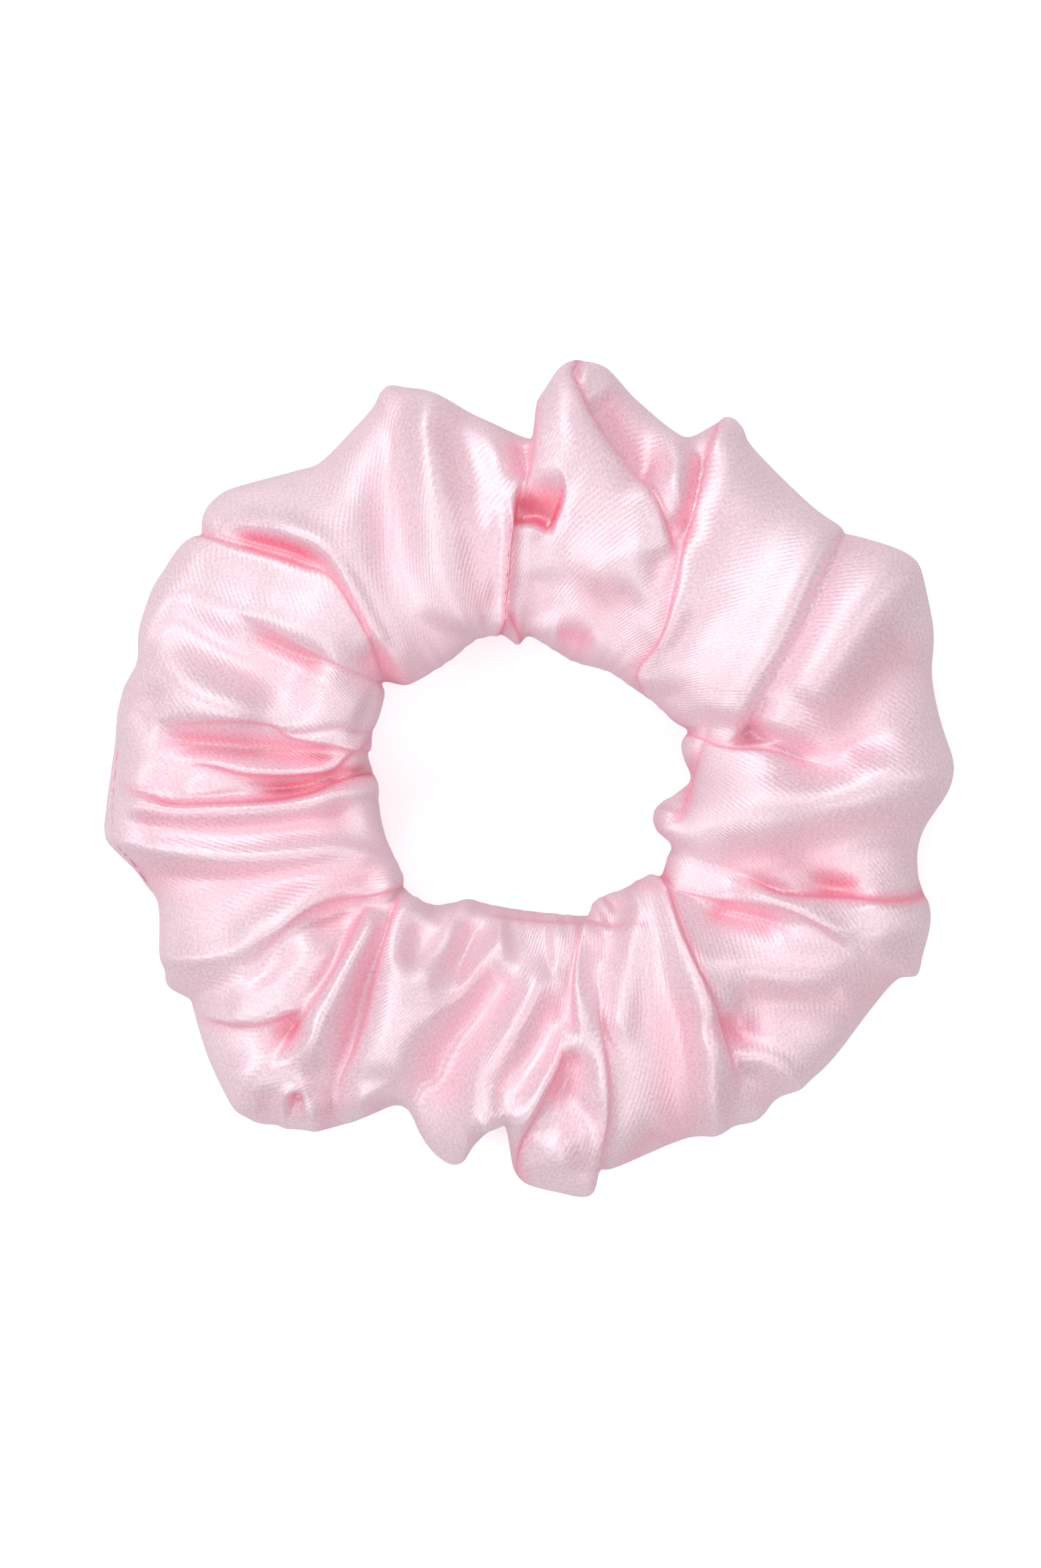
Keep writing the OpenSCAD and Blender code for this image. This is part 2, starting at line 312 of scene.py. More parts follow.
LOWER_RIGHT_PUFF = [
    lap(1.8, 0.4, (19.2, -15), (24, -15.7), (30, -16.6), (34.6, -17.7), (38.6, -19.6),
        (41, -21.8), (42.4, -24), body=2, fade=(0, 0.3), pink=0.3, low=0.6),
    ridge(0.7, 0.5, (22, -15), (28, -15.8), (34, -16.9), (38.6, -18.6), (42, -21.6),
          fade=(0.1, 0.2)),
    ridge(-1.6, 1.1, (22.5, -16.4), (27, -17.3), (31, -18.3), (36, -19.9), fade=(0.15, 0.4),
          pink=1.0),
    ridge(1.1, 1.4, (21.5, -22.4), (27, -23.8), (33, -24.6), (38, -24.2), (40.6, -22.2),
          (39.6, -20.2), fade=(0.1, 0.3)),
    ridge(-1.2, 2.8, (26, -28), (32, -28.6), (40, -28.4), (46, -27.5), fade=(0.1, 0), pink=0.25),
    ridge(-1.6, 1.3, (24.8, -30), (26, -32.4), (28.6, -33), (33, -33.2), fade=(0.1, 0.6),
          pink=1.0),
    ridge(0.9, 0.7, (26.6, -35.8), (29, -35.5), (32, -36.6), (34.2, -38.6), (35.4, -40.6),
          fade=(0.1, 0)),
    ridge(-0.9, 1.4, (27.6, -38), (29.6, -40), (31.5, -42.5), fade=(0.1, 0.1), pink=0.15),
    ridge(0.6, 0.9, (40, -27.6), (42.6, -29), (44.4, -30.4)),
    ridge(0.7, 1.8, (43, -18.4), (48, -18), (52, -17.8), fade=(0.3, 0)),
]

TONGUE = [
    lap(3.2, 0.7, (28.6, -44), (27.8, -40.6), (26.6, -36.5), (25.3, -32), (23.9, -27.8),
        (22.1, -23.8), (20.5, -19.8), (19.5, -16), (19.1, -13.4), body=3.4, fade=(0.4, 0),
        pink=0.75),
    ridge(1.8, 1.3, (18.2, -13.6), (18.8, -18), (20.4, -23.6), (22, -29), (22.8, -34),
          (23.2, -40), (23.6, -46.4), right=1.2, fade=(0, 0)),
    ridge(-1.0, 1.3, (24.4, -34), (25.4, -39), (26.4, -45), fade=(0.4, 0), pink=0.1),
    ridge(1.4, 1.1, (14, -14.6), (13.4, -19), (12.3, -25), (11.5, -30), (11.1, -35),
          fade=(0, 0.2)),
    ridge(-0.5, 2.2, (18.6, -24), (19, -32), (19.2, -40), (19.2, -49), fade=(0.3, 0), pink=0.5),
    ridge(-1.2, 1.3, (15.2, -48.4), (16.6, -46.8), (18.4, -45.6), fade=(0, 0.4), pink=0.5),
    ridge(-1.3, 1.1, (11.2, -15.4), (10, -20), (9.6, -25), fade=(0.05, 0.3), pink=0.2),
]

TWISTED_LOBE = [
    # Left edge of the lobe: the strip beside it laps over it
    lap(2.6, 0.6, (-0.2, -52.6), (-1.0, -50), (-0.6, -47.5), (0.4, -45), (2, -42), (4.1, -38),
        (5.7, -34), fade=(0, 0.15), body=1.2, pink=0.7, low=0.9),
    lap(2.8, 0.6, (7.9, -17.6), (7, -20.8), (6.2, -24.6), (5.9, -28.4), (6, -33.6),
        body=2.4, fade=(0, 0.2), pink=0.35),
    ridge(0.9, 0.5, (7.2, -23), (6.8, -27), (6.9, -31), (7.4, -35)),
    ridge(-0.8, 0.7, (8.2, -20), (8.3, -25), (8.6, -29), pink=0.1),
    # Right edge of the lobe, over the tongue
    lap(2.8, 0.7, (9.6, -51.4), (10.1, -48), (10.8, -43.4), (10.8, -39), (10.3, -34.6),
        (9.6, -30.6), (8.9, -26), body=2.6, fade=(0, 0.25), pink=0.45),
    ridge(0.9, 0.6, (9.2, -50.6), (9.5, -46), (9.4, -40), (8.8, -35.4), (8.2, -31.6),
          fade=(0, 0.3)),
    ridge(-1.5, 1.3, (5.8, -34), (5.0, -37), (4.2, -40.4), (3.8, -43.8), fade=(0.15, 0.35),
          pink=1.0),
    ridge(1.5, 1.8, (2.8, -45), (3.2, -47.6), (3.4, -51), fade=(0.3, 0.2)),
    ridge(-0.9, 1.4, (6.6, -40), (6.8, -45), (6.6, -52), fade=(0.3, 0.2), pink=0.2),
    ridge(0.9, 0.6, (-1.7, -45.6), (-2, -48.4), (-1.4, -51), (0.8, -53.2), fade=(0.2, 0.2)),
]

BOTTOM_PUFF = [
    # The rolled edge along the opening
    lap(1.2, 0.3, (8, -18.9), (3.6, -18.7), (0, -18.3), (-4, -17.8), (-6.4, -16.8), body=2,
        fade=(0, 0.3), pink=0.4),
    ridge(1.9, 2.0, (-17.2, -17), (-17.8, -22), (-17.4, -28), (-17.6, -34), (-18, -39),
          fade=(0, 0.1)),
    ridge(-1.5, 1.2, (-14, -18.4), (-15.5, -21.4), (-15.2, -25), fade=(0.2, 0.3), pink=0.2),
    ridge(1.2, 0.9, (-9, -17), (-10.6, -20.6), (-12.6, -24), (-15, -27.4), fade=(0, 0.2)),
    ridge(-1.5, 1.1, (-7, -17.8), (-8.6, -21.6), (-11, -26), fade=(0.2, 0.3), pink=0.2),
    ridge(1.7, 1.2, (-1.4, -20.4), (-4.6, -21.4), (-7, -24.4), (-9.6, -27.8), (-13, -30),
          (-17, -32), fade=(0.1, 0.3)),
    ridge(-1.8, 2.0, (-3.2, -23.4), (-6, -27.6), (-9, -32), (-11.6, -37), (-11.6, -44),
          fade=(0.1, 0.2), pink=0.4),
    ridge(2.4, 1.9, (1.6, -22), (-0.2, -27), (-2.6, -31.6), (-5, -36.4), (-7, -41), (-8.6, -46),
          (-9.4, -50), fade=(0.2, 0)),
    ridge(-1.6, 1.8, (4, -26), (2.2, -30), (-0.4, -34.4), (-3.2, -39), (-5, -41.4),
          fade=(0.2, 0.2), pink=0.35),
    ridge(1.0, 1.6, (6, -20.6), (2.6, -21), fade=(0, 0.3)),
    ridge(2.0, 1.1, (5.4, -30.5), (3.2, -35.6), (0.2, -39.8), (-2.6, -42), (-5.4, -42.8),
          (-6.8, -45), fade=(0.2, 0.1)),
    ridge(-1.6, 1.2, (-4.4, -43.8), (-4.2, -46.4), fade=(0.2, 0), pink=0.1),
    ridge(1.1, 0.6, (-22.6, -43.4), (-21.4, -40.8), (-18.8, -39.3), (-16.6, -39.8), (-15, -43),
          fade=(0.1, 0)),
    ridge(-1.2, 1.2, (-19, -41.2), (-19.2, -44), fade=(0.2, 0), pink=0.25),
]

LOWER_LEFT_FOLDS = [
    # The bottom puff's edge, over the strip, and the strip's edge, over the left side
    lap(2.6, 0.6, (-16.8, -14.6), (-17.8, -18.4), (-19, -23), (-19.9, -27.4), (-20.9, -31.6),
        (-22.4, -35.6), (-24, -39), (-25, -45), body=3, fade=(0.06, 0.35), pink=0.45, low=0.8),
    ridge(-1.4, 0.9, (-18.2, -17), (-20.4, -23.4), (-21.9, -29.4), (-23.4, -35), (-25, -40.6),
          (-25.6, -46), fade=(0.1, 0), pink=0.4),
    ridge(1.7, 1.2, (-20, -17), (-22.8, -22), (-26.2, -28.6), (-28.4, -34), (-28.8, -38),
          fade=(0.1, 0.2)),
    ridge(-0.9, 1.0, (-26.4, -35), (-27.6, -39), (-27.4, -43), pink=0.1),
    lap(2.8, 0.6, (-20.3, -15.9), (-22.1, -19.2), (-24.4, -24), (-26.4, -27.5), (-28.2, -30.2),
        (-30.2, -33.4), (-32.2, -36.6), (-33.8, -39.6), body=2.4, fade=(0.06, 0.5), pink=0.5,
        low=0.8),
    ridge(-1.7, 1.0, (-28.6, -30.6), (-31, -33.4), (-33.4, -37), fade=(0.15, 0.7), pink=1.3),
    ridge(-0.8, 0.7, (-21.6, -17.4), (-24.6, -23), (-28, -28.8), fade=(0.1, 0.2), pink=0.3),
    ridge(0.8, 2.0, (-27.4, -19), (-29.8, -22), (-31.4, -26), fade=(0.4, 0.4)),
    ridge(-0.9, 1.3, (-30.6, -19.4), (-33.4, -22), (-34.4, -25), (-33.8, -27.4), pink=0.1),
    ridge(-1.0, 1.4, (-21.6, -16.8), (-25.4, -17.6), (-28.4, -19.6), fade=(0.2, 0.4), pink=0.5),
    lap(1.8, 0.4, (-44, -30.2), (-40, -31.6), (-35, -31.9), (-31.4, -31), (-28.4, -29.9), body=3,
        fade=(0.3, 0.08), pink=0.5, low=0.8),
    ridge(1.1, 1.8, (-37, -34.4), (-37.4, -39.4), (-36.4, -44), fade=(0.3, 0.1)),
    ridge(-1.2, 1.2, (-33.6, -39.6), (-33.8, -46), fade=(0.3, 0), pink=0.2),
    ridge(1.1, 0.5, (-31.6, -46), (-31.8, -42.4), (-31, -40.6), (-29.6, -40.1), (-28.4, -40.8),
          (-27.8, -43), (-27.2, -46), fade=(0, 0)),
    pocket(2.2, (-29.8, -46), (-29.5, -41), (-30.9, -46.5), (-30.8, -42), (-30.2, -40.7),
           (-29, -40.7), (-28.8, -43), (-28.2, -46.5), pink=0.8),
]

LEFT_PUFF = [
    lap(2.6, 0.6, (-37, -24.4), (-34, -22.2), (-31, -19.5), (-28, -17.2), (-24, -15.7),
        (-20, -15.5), (-16.4, -14.9), body=4.5, fade=(0.5, 0), pink=0.4),
    ridge(1.1, 0.7, (-16.8, -13.8), (-21, -14.1), (-25, -14.3), (-29, -16), (-33, -19),
          (-37.4, -21.6), (-42, -22.6), (-47.4, -22.8), right=1.6, fade=(0.05, 0)),
    # The edge over the seam's recess
    lap(2.6, 0.6, (-19.6, 0.8), (-22, 0.3), (-24.4, -0.5), (-27.4, -1.8), (-31, -2.6),
        (-35, -3.0), (-40, -3.2), (-45, -3.3), (-47.4, -2.8), (-50, -1.8), (-54.6, -0.9),
        body=4, fade=(0, 0.25), pink=0.9, low=0.5),
    ridge(0.8, 0.5, (-53, -2.6), (-47, -4.1), (-40, -4.3), (-34, -3.9), (-28, -2.9),
          (-24, -1.7), (-19.6, -0.6), right=0.8, fade=(0.1, 0)),
    ridge(-1.2, 1.2, (-52, -5.4), (-42, -6.1), (-33, -6.1), (-26, -5.2), (-21, -3.6),
          right=2.4, fade=(0.1, 0.1), pink=0.6),
    ridge(1.2, 0.9, (-54, -7.6), (-46, -9.0), (-38, -9.8), (-30, -9.2), (-25, -8.6),
          (-21, -10), (-18.4, -12.4), fade=(0, 0.1)),
    ridge(-1.1, 1.8, (-49, -12.8), (-40, -13.1), (-30, -12.8), (-22, -13), (-17.6, -13.8),
          right=2.6, fade=(0, 0.1), pink=0.5),
    ridge(-0.5, 1.4, (-47.6, -20.6), (-41, -20), (-36, -18.6)),
    ridge(-0.8, 1.6, (-46.6, -27), (-41, -27.4), (-36, -28), fade=(0, 0.3), pink=0.1),
]

SEAM_RECESS = [
    ridge(-1.6, 2.8, (-50, 2.6), (-42, 2.8), (-34, 2.2), (-25, 1.4), fade=(0.3, 0.2), pink=0.05),
    # The thin edge inside the recess
    lap(1.5, 0.35, (-46.4, 1.0), (-43, 1.7), (-40, 1.3), (-36.6, 0.4), (-32, 0.1), (-28, 0.3),
        (-24.6, 0.8), (-22.6, 2.8), body=1.2, fade=(0.3, 0), pink=0.6, low=0.9),
    ridge(-1.3, 1.0, (-49.4, 4.8), (-42, 4.7), (-35, 4.0), (-28, 3.2), (-23, 3.2),
          fade=(0.2, 0.1), pink=1.1),
    ridge(0.6, 0.7, (-46, 2.4), (-40, 2.3), (-34, 1.4), (-28, 1.3), (-24, 1.9)),
    ridge(-1.4, 0.8, (-38, -1.0), (-34, -1.5), (-29, -1.2), (-24.4, 0), fade=(0.5, 0), pink=1.4),
    crease(0.8, 0.5, (-46, -2.6), (-41, -2.4), (-37, -2.0), (-35.4, -2.6), pink=0.2),
    ridge(0.6, 0.5, (-23.6, -0.2), (-22.4, 1.2), (-21.4, 3), fade=(0.1, 0.1)),
    # The upper side's edge over the recess, with the small stitched flap at its end
    lap(2.2, 0.5, (-50.5, 8.6), (-46, 7.0), (-42, 6.9), (-38, 7.1), (-34, 6.8), (-32, 6.3),
        (-30.2, 5.0), (-26.4, 4.1), (-20.4, 3.2), body=3.4, fade=(0.3, 0), pink=0.35, low=0.8),
    crease(0.9, 0.5, (-32, 6.6), (-29.4, 5.9), (-27.4, 5.9), (-24.4, 6.4), (-19.9, 6.2),
           fade=(0.2, 0), pink=0.15),
    ridge(0.6, 0.4, (-29.4, 5.3), (-26, 4.9), (-23, 4.4), (-20.2, 4.2), fade=(0.2, 0)),
    ridge(-0.7, 1.0, (-49.6, 0.6), (-46, -1.0), (-42, -1.4), pink=0.15),
]

LEFT_TOP_PUFF = [
    ridge(1.5, 2.4, (-51, 18.4), (-46, 15), (-41.6, 12.2), (-37.4, 10.1), (-33, 8.3),
          fade=(0, 0.2)),
    ridge(-1.7, 2.6, (-47.5, 21.5), (-43, 18.6), (-38, 15.6), (-33, 12.4), (-29, 9),
          (-26.4, 7.8), fade=(0.1, 0.2), pink=0.1),
    ridge(0.5, 1.5, (-47.4, 27), (-48.2, 21), (-47.4, 15.6), fade=(0.3, 0.3)),
    ridge(1.2, 2.0, (-28.6, 14), (-25.4, 11), (-21, 8.8), fade=(0.2, 0.1)),
    # The long thin edge across it
    lap(2.0, 0.4, (-40.4, 22.2), (-37, 21), (-34, 19.5), (-31, 17.8), (-28, 16.2), (-24, 14.3),
        (-20, 12.7), (-18, 12.0), body=4, fade=(0.5, 0), pink=0.3, low=0.6),
    ridge(-1.1, 0.8, (-37, 19.2), (-33, 17.6), (-28.6, 15.6), (-24, 13.9), fade=(0.3, 0.3),
          pink=1.0),
    ridge(0.5, 1.8, (-46, 25.2), (-42.6, 23.4), (-39, 21.8), (-35, 20.6), (-30, 18.2),
          fade=(0.3, 0.4)),
    ridge(-1.3, 1.3, (-17.9, 13.6), (-19.6, 15.6), (-20.6, 17.6), fade=(0, 0.4), pink=0.9),
    ridge(-0.6, 2.0, (-44, 27.4), (-38, 26), (-32, 24)),
    ridge(0.7, 2.4, (-30, 22.4), (-26, 19), (-23, 17), fade=(0.3, 0.2)),
    ridge(-0.8, 1.6, (-52, 8.4), (-49, 10), (-46, 9.4), pink=0.15),
]

FOLDS = (
    TOP_LEFT_PUFF + EAR + RIGHT_TOP_PUFF + RIGHT_PUFF + LOWER_RIGHT_PUFF + TONGUE
    + TWISTED_LOBE + BOTTOM_PUFF + LOWER_LEFT_FOLDS + LEFT_PUFF + SEAM_RECESS + LEFT_TOP_PUFF
)

# How far a fold that isn't faded at its end goes on beyond it, and in what steps
RUN_OUT = 12.0
RUN_STEP = 0.5
# Shares that turn the heights and widths given above into the cloth's
RELIEF = 1.7
RIDGE_SPREAD = 1.3
LAP_STEP = 0.6
# Way from the bright line along a ridge to its crest, away from the light
AWAY = (0.80, -0.60)
CREST_OFF = 0.8
# How many points are measured against a line at a time
CHUNK = 20000


def smooth(t):
    """0 up to t = 0 and 1 from t = 1 on, with a smooth step between."""
    t = np.clip(t, 0, 1)
    return t * t * (3 - 2 * t)


def fold_line(fold):
    """A fold's line close together, its tangents, and its strength along it."""
    line = spline(fold.points)
    steps = np.linalg.norm(np.diff(line, axis=0), axis=1)
    along = np.concatenate([[0], np.cumsum(steps)])
    total = along[-1]
    strength = np.ones(len(line))
    for share, near in zip(fold.fade, (along, total - along)):
        if share > 0:
            strength *= smooth(near / (share * total))
    # A fold that isn't faded at an end runs off the edge, over it and down the side
    for share in fold.fade:
        if share == 0:
            way = line[0] - line[min(3, len(line) - 1)]
            reach = np.arange(RUN_STEP, RUN_OUT, RUN_STEP)[::-1]
            line = np.vstack([line[0] + way / np.linalg.norm(way) * reach[:, None], line])
            strength = np.concatenate([1 - smooth(reach / RUN_OUT), strength])
        # Turned round after its start, and back again after its end
        line, strength = line[::-1], strength[::-1]
    tangent = np.gradient(line, axis=0)
    tangent /= np.linalg.norm(tangent, axis=1)[:, None] + 1e-9
    return line, tangent, strength


class Relief:
    """What the folds do to each point of the plan: its lift, sideways slide and painted shade."""

    def __init__(self, plan):
        self.plan = plan
        self.soft = np.zeros(len(plan))
        self.crisp = np.zeros(len(plan))
        self.slide = np.zeros((len(plan), 2))
        self.pink = np.zeros(len(plan))

    # Paints shade: keeps at each point the deepest painted shade that any fold asks for
    def colour(self, near, depth):
        self.pink[near] = np.maximum(self.pink[near], depth)

    def along(self, fold, reach):
        """The points within reach of a fold's line, the line's direction and strength there,
        their distance to its left, and the fold's power on them, which fades past its ends."""
        line, tangent, strength = fold_line(fold)
        low, high = line.min(0) - reach, line.max(0) + reach
        near = np.nonzero(((self.plan > low) & (self.plan < high)).all(1))[0]
        p = self.plan[near]
        nearest = np.empty(len(p), int)
        for k in range(0, len(p), CHUNK):
            gap = p[k : k + CHUNK, None, :] - line[None]
            nearest[k : k + CHUNK] = np.argmin((gap**2).sum(2), axis=1)
        off = p - line[nearest]
        t = tangent[nearest]
        left = t[:, 0] * off[:, 1] - t[:, 1] * off[:, 0]
        past = np.abs((t * off).sum(1))
        strength = strength[nearest]
        return near, t, strength, left, strength * np.exp(-(np.maximum(past - 0.5, 0) ** 2))


def apply_ridge(relief, fold):
    """Raises a ridge. It is drawn where it catches the light, and its crest is beyond that."""
    s = fold.shape
    near, t, _, left, power = relief.along(fold, 3.2 * max(s["left"], s["right"]))
    narrow = RIDGE_SPREAD * min(s["left"], s["right"])
    turned = t[:, 0] * AWAY[1] - t[:, 1] * AWAY[0]
    crest = CREST_OFF * narrow * turned * (1 - min(1, s["pink"]))
    across = (left - crest) / (RIDGE_SPREAD * np.where(left > crest, s["left"], s["right"]))
    relief.soft[near] += RELIEF * s["height"] * np.exp(-0.5 * across**2) * power
    # Painted shade along the line, mostly on valleys: the cloth's colour deepens as it would in
    # their shade
    bump = np.exp(-0.5 * (left / narrow) ** 2) * power
    relief.colour(near, 0.7 * s["pink"] * bump**1.5)


def apply_crease(relief, fold):
    """Sinks a sharp valley along a line."""
    s = fold.shape
    near, _, _, left, power = relief.along(fold, 5 * max(s["left"], s["right"]))
    across = np.abs(left) / np.where(left > 0, s["left"], s["right"])
    relief.crisp[near] -= s["depth"] * np.exp(-across) * power
    # Painted shade: the colour deepens down in the crease, where shade falls
    relief.colour(near, s["pink"] * np.exp(-1.5 * across) * power)


def apply_lap(relief, fold):
    """Raises the line's left side over its right side, and pushes the edge out over it."""
    s = fold.shape
    body = s["body"]
    near, t, strength, left, power = relief.along(fold, 2.4 * body + 3)
    # The edge hangs over, so the fold stands back from its line by that much
    left = left - 0.75 * s["over"] * np.minimum(1, strength)
    edge = 1 / (1 + np.exp(-np.clip(left / 0.12, -40, 40)))
    upper = np.exp(-(((left - 0.45 * body) / body) ** 2)) * (0.82 + 0.18 * smooth(left / 1.2))
    under = np.exp(-((left / (s["low"] * body)) ** 2))
    profile = s["share"] * upper * edge - (1 - s["share"]) * under * (1 - edge)
    relief.crisp[near] += LAP_STEP * s["step"] * profile * power
    push = s["over"] * edge * np.exp(-((np.maximum(left, 0) / 1.5) ** 2)) * power
    relief.slide[near] += np.stack([t[:, 1], -t[:, 0]], axis=1) * push[:, None]
    # Painted shade where the edge laps over the cloth beneath: the colour deepens near the line,
    # further on the lower side
    shade_falloff = np.where(left > 0, left / 0.5, -left / 1.1)
    relief.colour(near, s["pink"] * (np.exp(-(shade_falloff**2)) * power))


def apply_pocket(relief, fold):
    """Sinks the points inside a pocket's outline."""
    line = spline(fold.points, closed=True, step=0.2)
    s = fold.shape
    plan = relief.plan
    near = np.nonzero(((plan > line.min(0) - 1) & (plan < line.max(0) + 1)).all(1))[0]
    p = plan[near]
    gap = np.sqrt(((p[:, None] - line[None]) ** 2).sum(2)).min(1)
    x, y = line.T
    x2, y2 = np.roll(line, -1, axis=0).T
    crosses = (y[None] > p[:, 1:]) != (y2[None] > p[:, 1:])
    at = x[None] + (p[:, 1:] - y[None]) * ((x2 - x) / (y2 - y + 1e-9))[None]
    inside = (crosses & (p[:, :1] < at)).sum(1) % 2 == 1
    edge = smooth(np.where(inside, gap, -gap) / 0.35 + 0.5)
    shallow, deep = np.array(s["shallow"]), np.array(s["deep"])
    way = deep - shallow
    share = smooth((p - shallow) @ way / (way @ way))
    relief.crisp[near] -= s["depth"] * share * edge
    # Painted shade: the colour deepens towards the pocket's deep end
    relief.colour(near, s["pink"] * share**2 * edge)


APPLY = {"ridge": apply_ridge, "crease": apply_crease, "lap": apply_lap, "pocket": apply_pocket}

# ---------------------------------------------------------------------------------------------
# The cover
# ---------------------------------------------------------------------------------------------


def waves(angle, count, seed, low, high):
    """A smooth wavy function of the angle round the ring, from -1 to 1 or so."""
    rng = np.random.default_rng(seed)
    total = np.zeros_like(angle)
    for _ in range(count):
        n = rng.integers(low, high)
        total += np.cos(n * angle + rng.uniform(0, 2 * math.pi)) * rng.uniform(0.5, 1)
    return total / math.sqrt(count)


def even_out(field, across, along):
    """Evens out a value on the grid: so many rounds round the ring, and so many over it."""
    for axis, rounds in ((0, across), (1, along)):
        for _ in range(rounds):
            mean = (np.roll(field, 1, axis=axis) + np.roll(field, -1, axis=axis)) / 2
            field = (field + mean) / 2
    return field


def soften(points, rounds, weight=0.5):
    """Evens out a closed grid of points a little, as stiff cloth does."""
    for _ in range(rounds):
        mean = sum(np.roll(points, s, axis=ax) for ax in (0, 1) for s in (-1, 1)) / 4
        points = points + (mean - points) * weight
    return points


def plain_tube(angle, share, rise, top, outer, inner):
    """Radii and heights of the filled tube without its folds, and its middle height."""
    # The outlines' corners show at the edges, and round off over the ring
    round_outer, round_inner = (even_out(line[:, None], 150, 0) for line in (outer, inner))
    r = round_inner + share * (round_outer - round_inner)
    r = r + share**6 * (outer[:, None] - round_outer)
    r = r + (1 - share) ** 6 * (inner[:, None] - round_inner)
    rim_z = RIM_Z + 1.6 * waves(angle, 5, 3, 3, 11)
    mid_z = GRIP_Z + share * (rim_z - GRIP_Z)[:, None]
    up = (TOP_Z - mid_z) * rise**0.72
    down = mid_z * rise**0.55
    return r, np.where(top, mid_z + up, mid_z - down), mid_z


def unrolled(r, z, top, outer, inner):
    """Radii on a plan where the side and the underside are laid out beyond the outlines, how
    much of a fold is left at each point, and each point's way round the tube."""
    dr = np.diff(r, axis=1, append=r[:, :1])
    dz = np.diff(z, axis=1, append=z[:, :1])
    arc = np.cumsum(np.hypot(dr, dz), axis=1)
    past_rim = np.where(top, 0, arc - arc[:, TOP_ROWS - 1 : TOP_ROWS])
    past_grip = np.where(top, 0, arc[:, -1:] - arc)
    outwards = past_rim < past_grip
    laid_out = np.where(outwards, outer[:, None] + past_rim, inner[:, None] - past_grip)
    left = np.where(outwards, 1 - smooth(past_rim / 11), 1 - smooth(past_grip / 6))
    return np.maximum(np.where(top, r, laid_out), 4), np.where(top, 1, left), arc


def cover_surface():
    """The cover's outer face: (AROUND, rows, 3) points, its painted shade and its weave's map."""
    angle = np.arange(AROUND) * 2 * math.pi / AROUND
    cos, sin = np.cos(angle)[:, None], np.sin(angle)[:, None]
    # Positions round the cross-section: over the top from the opening, then back underneath
    a_top = np.linspace(0, math.pi, TOP_ROWS, endpoint=False)
    a_under = np.linspace(math.pi, 2 * math.pi, UNDER_ROWS, endpoint=False)
    a = np.concatenate([a_top, a_under])[None]
    top = a < math.pi
    share = (1 - np.cos(a)) / 2
    rise = np.abs(np.sin(a))

    # On the seam side the outermost strip is sewn flat, and the full part stops short of it
    flange = FLANGE_W * smooth((angle - FLANGE_FROM) / FLANGE_EASE)
    flange = flange * smooth((FLANGE_TO - angle) / FLANGE_EASE)
    outer = radius_by_angle(OUTER, angle) - flange
    inner = radius_by_angle(INNER, angle)
    r, z, mid_z = plain_tube(angle, share, rise, top, outer, inner)

    plan_r, on_top, arc = unrolled(r, z, top, outer, inner)
    plan = np.stack([plan_r * cos, plan_r * sin], axis=2)
    relief = Relief(plan.reshape(-1, 2))
    for fold in FOLDS:
        APPLY[fold.kind](relief, fold)
    soft = even_out(relief.soft.reshape(r.shape), 6, 24)
    lift = even_out(relief.crisp.reshape(r.shape), 0, 4) + soft
    # The folds' painted shade, kept on the top face only
    pink = relief.pink.reshape(r.shape) * on_top
    slide = relief.slide.reshape(plan.shape) * on_top[:, :, None]

    # Gathers too small to draw one by one: along the grip, under the ring and down its side
    fine = waves(angle, 9, 11, 34, 78)[:, None] * np.exp(-((share / 0.10) ** 2)) * 0.15
    below = waves(angle, 9, 5, 12, 34)[:, None] * (1 - on_top) * rise * 1.9
    wander = 0.03 * waves(angle, 8, 21, 16, 60)[:, None] * np.sin(a * 3 + 1)
    lift = lift * on_top + fine + below + wander

    # Displace up and, on the walls, outwards
    lip = flange[:, None] * np.exp(-(((z - mid_z) / 0.9) ** 2)) * (share > 0.5)
    out = lip - np.cos(a) * 0.30 * lift
    x = r * cos + out * cos + slide[:, :, 0] * rise**0.3
    y = r * sin + out * sin + slide[:, :, 1] * rise**0.3
    z = z + lift * (np.where(top, 1, -1) * rise**0.35)
    low = REST_Z + SETTLE
    z = np.where(z < low, REST_Z + SETTLE * np.exp(np.minimum(z - low, 0) / SETTLE), z)

    weave_u = np.repeat((angle / (2 * math.pi) * WEAVE_AROUND)[:, None], a.size, axis=1)
    weave_v = WEAVE_OVER * arc / arc[:, -1:]
    return np.stack([x, y, z], axis=2), pink, np.stack([weave_u, weave_v], axis=2)


def grid_normals(points):
    """Outward normals of the cover's grid of points."""
    du = np.roll(points, -1, axis=0) - np.roll(points, 1, axis=0)
    dv = np.roll(points, -1, axis=1) - np.roll(points, 1, axis=1)
    n = np.cross(dv, du)
    return n / (np.linalg.norm(n, axis=2)[:, :, None] + 1e-12)


def grid_quads(around, rows):
    """Outward faces of a grid that closes on itself both ways."""
    i, j = np.meshgrid(np.arange(around), np.arange(rows), indexing="ij")
    i2, j2 = (i + 1) % around, (j + 1) % rows
    corners = [i * rows + j, i * rows + j2, i2 * rows + j2, i2 * rows + j]
    return np.stack(corners, axis=-1).reshape(-1, 4)


